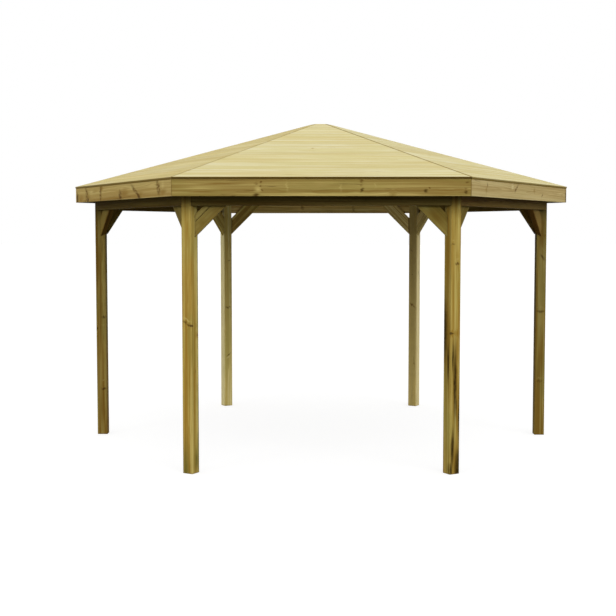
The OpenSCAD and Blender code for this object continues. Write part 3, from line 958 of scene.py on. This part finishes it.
# %% Roof boards
BOARD_ROWS = 16
BOARD_GAP = 0.002
BOARD_EASE = 0.002
HIP_GAP = 0.008
CLOSE_HIPS = {"front_left": 0.003}
HIP_WET = 0.98
WET_HIPS = {"front_left": 0.75}
ROOF_LOG = {"across": 0.05, "depths": (-0.14, -0.05), "slant": 0.01}
BOARD_TONES = (0.95, 1.02)
ROOF_TONES = {"front_left": (0.93, 0.88, 0.75)}
EAVES_GROOVE = {"face": 2, "place": 0.0, "width": 0.007, "root": 0.95, "depth": 0.009,
                "start": -9.0, "end": 9.0, "taper": 0.1}
EAVES_SHADE = 0.6
EAVES_LEAST = 0.35
EAVES_MARGIN = 1.1
board_cover = (eaves_line - cap_line) / math.cos(pitch) / BOARD_ROWS
board_width = board_cover - BOARD_GAP
roof_rows = {}
roof_joints = {}
for k, face in enumerate(FACES):
    angle = k * TURN + HALF
    uphill = math.sin(pitch) * UP - math.cos(pitch) * outward(angle)
    lift = math.cos(pitch) * UP + math.sin(pitch) * outward(angle)
    eaves = eaves_line * outward(angle) + eaves_top * UP
    normals = [sideways(k * TURN), -sideways((k + 1) * TURN)]
    hips = [CORNERS[k], CORNERS[(k + 1) % SIDES]]
    cuts = [(CLOSE_HIPS.get(hip, HIP_GAP) / 2 * normal, normal) for hip, normal in zip(hips, normals)]
    wet = [WET_HIPS.get(hip, HIP_WET) for hip in hips]
    parts = []
    for row in range(BOARD_ROWS):
        middle = eaves + (row + 0.5) * board_cover * uphill - board_thickness / 2 * lift
        parts.append(timber(middle, sideways(angle), uphill, (board_width, board_thickness), cuts,
                            ease=BOARD_EASE, rings=4, **drawn_log(**ROOF_LOG),
                            tone=rng.uniform(*BOARD_TONES), wet=wet,
                            slot=EAVES_GROOVE if row == 0 and face == "front" else None))
    # Painted shade along the eaves: the outer edge of the lowest board takes end-grain colour and a lower
    # tone, fully at the front and darker towards the bottom of the edge on the other panels.
    facing = (parts[0]["points"] - eaves) @ uphill < BOARD_GAP / 2 + EAVES_MARGIN * BOARD_EASE
    below = np.clip((eaves - parts[0]["points"]) @ lift / board_thickness, 0, 1)
    dark = np.ones(len(below)) if face == "front" else EAVES_LEAST + (1 - EAVES_LEAST) * below
    parts[0]["finish"][facing] = np.stack([0 * below, dark, 1.0 - EAVES_SHADE * dark], 1)[facing]
    roof_rows[face] = parts
    joints = eaves - board_thickness / 2 * lift + np.arange(1, BOARD_ROWS)[:, None] * board_cover * uphill
    roof_joints[face] = (joints, sideways(angle), uphill, cuts)
print("roof boards:", BOARD_ROWS * len(FACES), "of", round(board_cover * 1000, 1), "mm cover")

# %% Tongues between the boards, and the roof panels
TONGUE = (0.008, 0.006)
TONGUE_EASE = 0.0005
ROOF_LOOK = {"share": 0.14, "radius": 0.010, "streaks": 0.7, "tint": 0.5, "variety": 0.6, "bump": 0.15}
for face, (joints, along, uphill, cuts) in roof_joints.items():
    tongues = [timber(joint, along, uphill, TONGUE, cuts, ease=TONGUE_EASE, rings=2) for joint in joints]
    palette = "roof" if face == "front" else "side roof"
    tone = ROOF_TONES.get(face, PLAIN_TONE)
    finish = timber_finish("roof_boards_" + face, palette, tone=tone, **ROOF_LOOK)
    piece("boards_" + face, roof_rows[face] + tongues, finish, "roof_" + face)
print("tongues:", (BOARD_ROWS - 1) * len(FACES))

# %% [markdown]
# The rafters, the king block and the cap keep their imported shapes, whose notches and bevels are exact.
# They only need the finish, turned so that the grain runs along each of them. Each takes a place along
# the log that no timber above has, so its figure is its own.

# %% Finish of the rafters, the king block and the cap
hip_pitch = math.atan(math.tan(pitch) * math.cos(HALF))
# The rafters are darkened so that the open hip joints over them read dark: painted shade.
RAFTER_TONE = (0.5, 0.48, 0.42)
RAFTER_PITH = (0.02, -2.78)
HIP_LOGS = -100.0
COMMON_LOGS = -200.0
KING_TURN = ((-300.0, 0.01, 0.01), (0.0, math.radians(90), 0.0))
CAP_TURN = ((-310.0, 0.03, -2.9), (0.0, 0.0, 0.0))


def dress(node, palette, turns, **looks):
    """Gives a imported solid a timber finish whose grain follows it."""
    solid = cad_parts[node]
    solid.data.materials.clear()
    solid.data.materials.append(timber_finish(node + "_timber", palette, turns=turns, **looks))


for k, (corner, face) in enumerate(zip(CORNERS, FACES)):
    for node, angle, slope, logs in (("hip_rafter_" + corner, k * TURN, hip_pitch, HIP_LOGS),
                                     ("common_rafter_" + face, k * TURN + HALF, pitch, COMMON_LOGS)):
        level = (AXIS, (0.0, 0.0, -angle))
        down = ((logs - LOG_STEP * k, *RAFTER_PITH), (0.0, -slope, 0.0))
        dress(node, "beam", [level, down], tone=RAFTER_TONE)
dress("king_block", "beam", [KING_TURN])
dress("roof_cap", "roof", [CAP_TURN])
print("rafters:", 2 * SIDES)

# %% [markdown]
# The light is a plain bright day under an even sky. A pale world gives most of it, a broad key comes from
# high in front, and two low fills brighten the sides. A spot low in front lifts the far side, which the
# roof keeps dark. Rays from the camera see white all round, while the floor still takes the gazebo's
# shadow.

# %% Sky and lamps
scene = bpy.context.scene
scene.view_settings.view_transform = "Standard"
WHITE = (1.0, 1.0, 1.0, 1.0)


def seen_ray(tree):
    """One for rays that show the background: from the camera, in a mirror or through glass."""
    path = add(tree, "ShaderNodeLightPath").outputs
    indirect = calc(tree, "MAXIMUM", path["Is Glossy Ray"], path["Is Transmission Ray"])
    return calc(tree, "MAXIMUM", path["Is Camera Ray"], indirect)


SKY_LIGHT = 0.78
world = bpy.data.worlds.new("even_sky")
world.use_nodes = True
scene.world = world
tree = world.node_tree
backdrop = tree.nodes["Background"]
backdrop.inputs["Color"].default_value = WHITE
strength = calc(tree, "MULTIPLY_ADD", seen_ray(tree), 1.0 - SKY_LIGHT, SKY_LIGHT)
tree.links.new(strength, backdrop.inputs["Strength"])


def soft_lamp(name, strength, width, tilt, turn):
    """A distant lamp as wide as an angle of the sky.

    The tilt brings it from overhead to the front, and the turn from there to the right, in degrees.
    """
    lamp = bpy.data.objects.new(name, bpy.data.lights.new(name, "SUN"))
    lamp.data.energy = strength
    lamp.data.angle = math.radians(width)
    lamp.rotation_euler = (math.radians(tilt), 0.0, math.radians(turn))
    scene.collection.objects.link(lamp)


SIDE_FILL = {"strength": 0.50, "width": 24, "tilt": 72}
SIDE_TURN = 40
soft_lamp("front_key", strength=0.80, width=50, tilt=52, turn=15)
soft_lamp("left_fill", turn=-SIDE_TURN, **SIDE_FILL)
soft_lamp("right_fill", turn=SIDE_TURN, **SIDE_FILL)

# %% The spot for the far side
FAR_SIDE_WATTS = 80.0
FAR_SIDE_CONE = math.radians(44)
FAR_SIDE_SIZE = 0.5
FAR_SIDE_PLACE = (0.0, -3.2, 0.35)
FAR_SIDE_TILT = math.radians(109.7)
far_side = bpy.data.objects.new("far_side_fill", bpy.data.lights.new("far_side_fill", "SPOT"))
far_side.data.energy = FAR_SIDE_WATTS
far_side.data.spot_size = FAR_SIDE_CONE
far_side.data.spot_blend = 1.0
far_side.data.shadow_soft_size = FAR_SIDE_SIZE
far_side.location = FAR_SIDE_PLACE
far_side.rotation_euler = (FAR_SIDE_TILT, 0.0, 0.0)
far_side.visible_camera = False
scene.collection.objects.link(far_side)

# %% The floor
FLOOR_REACH = 150.0
FLOOR_BOUNCE = (0.11, 0.11, 0.10, 1.0)
FLOOR_GLOW = 0.78
FLOOR_SHADE = (0.3, 0.3, 0.3, 1.0)
FLOOR_CORNERS = ((-1, -1), (1, -1), (1, 1), (-1, 1))
floor_points = [(x * FLOOR_REACH, y * FLOOR_REACH, 0) for x, y in FLOOR_CORNERS]
floor_mesh = bpy.data.meshes.new("floor")
floor_mesh.from_pydata(floor_points, [], [(0, 1, 2, 3)])
floor = bpy.data.objects.new("floor", floor_mesh)
scene.collection.objects.link(floor)
floor_paint = bpy.data.materials.new("pale_floor")
floor_paint.use_nodes = True
tree = floor_paint.node_tree
tree.nodes.remove(tree.nodes["Principled BSDF"])
bounce = add(tree, "ShaderNodeBsdfDiffuse", {"Color": FLOOR_BOUNCE}).outputs[0]
glow = add(tree, "ShaderNodeEmission", {"Color": WHITE, "Strength": FLOOR_GLOW}).outputs[0]
shade = add(tree, "ShaderNodeBsdfDiffuse", {"Color": FLOOR_SHADE}).outputs[0]
bright = add(tree, "ShaderNodeAddShader", {0: glow, 1: shade}).outputs[0]
shown = add(tree, "ShaderNodeMixShader", {0: seen_ray(tree), 1: bounce, 2: bright}).outputs[0]
tree.links.new(shown, tree.nodes["Material Output"].inputs["Surface"])
floor_mesh.materials.append(floor_paint)
print("floor:", 2 * FLOOR_REACH, "m across")

# %% [markdown]
# The camera stands in front at head height and looks very slightly down, as the photograph was taken. Its
# place and its focal length in pixels come from a fit to the corners of the real gazebo.

# %% Camera
IMAGE_SIDE = 616
FOCAL_PIXELS = 1150.4
SENSOR_MM = 36.0
CAMERA_PLACE = (-0.022, -10.491, 1.8535)
CAMERA_DOWN = math.radians(3.7925)
CAMERA_LEFT = math.radians(0.507)
eye = bpy.data.objects.new("camera", bpy.data.cameras.new("camera"))
eye.data.sensor_fit = "HORIZONTAL"
eye.data.sensor_width = SENSOR_MM
eye.data.lens = FOCAL_PIXELS * SENSOR_MM / IMAGE_SIDE
eye.location = CAMERA_PLACE
eye.rotation_euler = (math.pi / 2 - CAMERA_DOWN, 0.0, CAMERA_LEFT)
scene.collection.objects.link(eye)
scene.camera = eye
print("lens: %.1f mm" % eye.data.lens)
